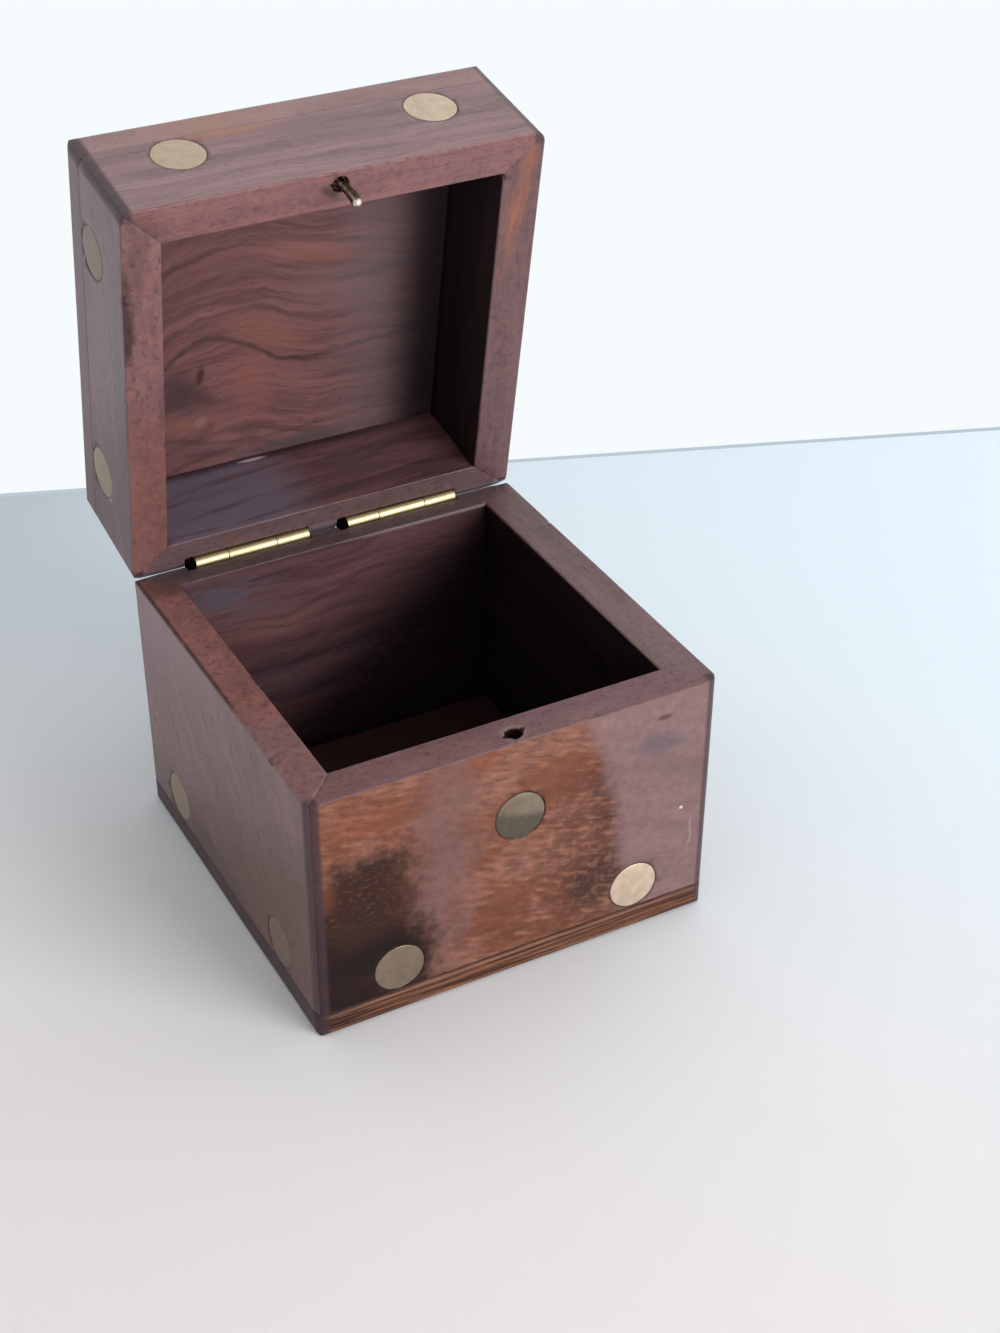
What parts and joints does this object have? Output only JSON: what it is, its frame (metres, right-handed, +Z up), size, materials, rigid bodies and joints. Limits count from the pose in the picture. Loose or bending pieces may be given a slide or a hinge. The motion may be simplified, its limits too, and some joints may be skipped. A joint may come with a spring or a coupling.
{
  "type": "hinged dice box",
  "caption": "Cube-shaped wooden box made like a large die, with inlaid brass pips, a hinged lid and a pin catch.",
  "frame": {"origin": "centre of the underside, on the surface that the box stands on", "axes": "+Z up, -Y out of the front, +X to the right seen from the front"},
  "size_m": [0.076, 0.0995, 0.1272],
  "materials": {
    "rosewood": "satin wax",
    "rosewood_dark": "satin wax",
    "rosewood_red": "satin wax",
    "pip_brass": "sanded flush, dull",
    "hinge_brass": "bright drawn"
  },
  "bodies": {
    "body": {"base_panel": "rosewood_red", "body_front_wall": "rosewood_red", "body_back_wall": "rosewood_dark", "body_left_wall": "rosewood", "body_right_wall": "rosewood", "left_hinge_body_leaf": "hinge_brass", "right_hinge_body_leaf": "hinge_brass", "body_hinge_brads": "hinge_brass", "front_pip_lower_left": "pip_brass", "front_pip_lower_right": "pip_brass", "front_pip_centre": "pip_brass", "left_pip_lower_front": "pip_brass", "left_pip_lower_back": "pip_brass", "right_pip_lower_front": "pip_brass", "right_pip_centre": "pip_brass", "back_pip_lower": "pip_brass"},
    "lid": {"lid_top_panel": "rosewood", "lid_front_wall": "rosewood", "lid_back_wall": "rosewood_dark", "lid_left_wall": "rosewood_red", "lid_right_wall": "rosewood", "left_hinge_lid_leaf": "hinge_brass", "right_hinge_lid_leaf": "hinge_brass", "left_hinge_pin": "hinge_brass", "right_hinge_pin": "hinge_brass", "lid_hinge_brads": "hinge_brass", "latch_pin": "hinge_brass", "front_pip_upper_left": "pip_brass", "front_pip_upper_right": "pip_brass", "left_pip_upper_front": "pip_brass", "left_pip_upper_back": "pip_brass", "right_pip_upper_back": "pip_brass", "back_pip_upper": "pip_brass", "top_pip_left_front": "pip_brass", "top_pip_left_middle": "pip_brass", "top_pip_left_back": "pip_brass", "top_pip_right_front": "pip_brass", "top_pip_right_middle": "pip_brass", "top_pip_right_back": "pip_brass"}
  },
  "joints": [
    {"name": "lid_hinge", "type": "hinge", "parent": "body", "child": "lid", "pos_m": [0, 0.037, 0.0493], "axis": [1, 0, 0], "range_deg": [0, 80]}
  ]
}
